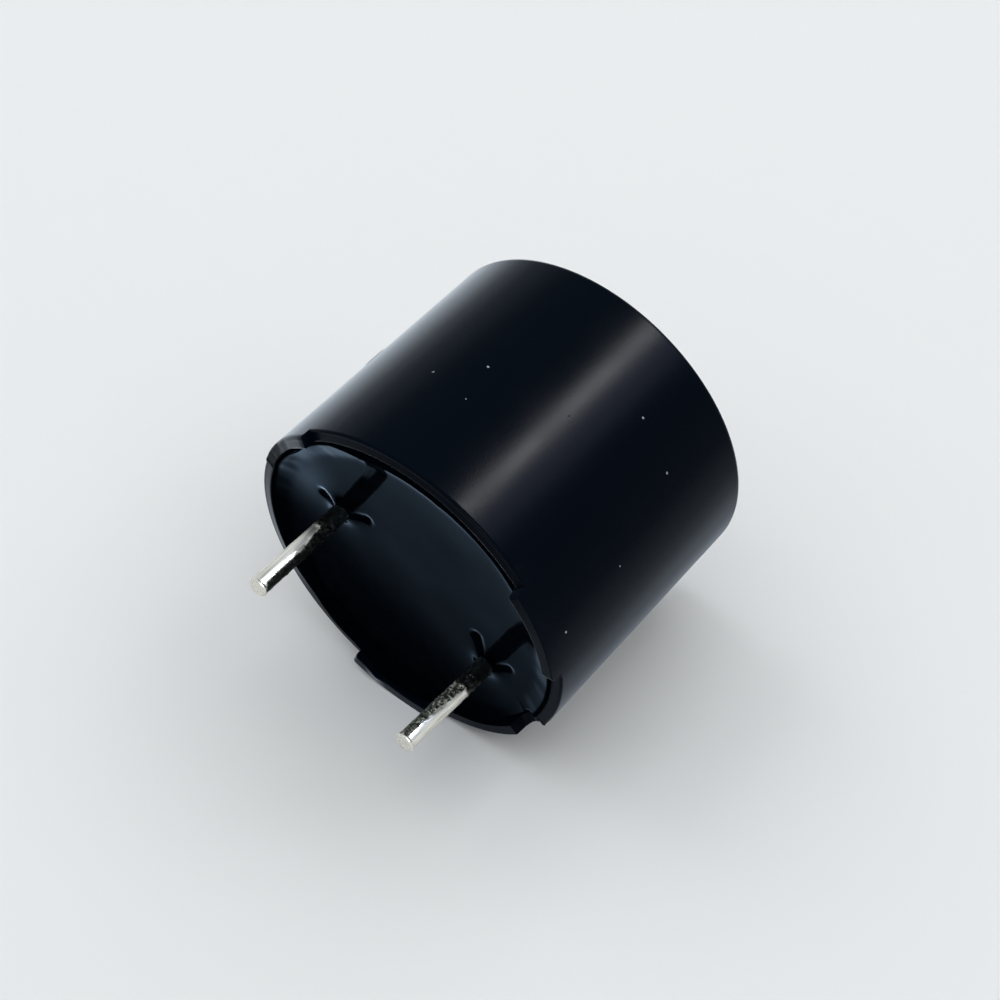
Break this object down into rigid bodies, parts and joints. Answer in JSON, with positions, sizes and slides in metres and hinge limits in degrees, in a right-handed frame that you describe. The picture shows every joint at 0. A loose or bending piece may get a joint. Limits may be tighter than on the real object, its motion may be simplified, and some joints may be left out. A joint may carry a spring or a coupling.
{
  "type": "passive magnetic buzzer",
  "caption": "Round black electromagnetic sounder with a resin-sealed base, rim standoffs and two straight tinned leads; it sounds through a hole in its flat face.",
  "frame": {"origin": "centre of the flat sounding face, on which the part stands", "axes": "+Z along the case's axis, from the sounding face to the sealed base and out along the leads; +X towards lead 1, so the two leads lie in the XZ plane"},
  "size_m": [0.012, 0.012, 0.0131],
  "materials": {
    "case_plastic": "satin moulded black",
    "spring_steel": "bright rolled",
    "soft_iron": "plain",
    "ring_brass": "turned",
    "ferrite": "matt sintered",
    "bobbin_plastic": "natural",
    "coil_copper": "enamelled copper",
    "board_laminate": "phenolic laminate",
    "tinned_wire": "tinned",
    "solder": "satin",
    "seal_resin": "cast glossy black"
  },
  "bodies": {
    "root": {"case": "case_plastic", "diaphragm": "spring_steel", "armature": "soft_iron", "support_ring": "ring_brass", "magnet_ring": "ferrite", "pole_core": "soft_iron", "yoke_plate": "soft_iron", "coil_bobbin": "bobbin_plastic", "coil_winding": "coil_copper", "terminal_board": "board_laminate", "pin_1": "tinned_wire", "pin_2": "tinned_wire", "coil_lead_1": "coil_copper", "coil_lead_2": "coil_copper", "solder_joint_1": "solder", "solder_joint_2": "solder", "base_seal": "seal_resin"}
  },
  "joints": []
}
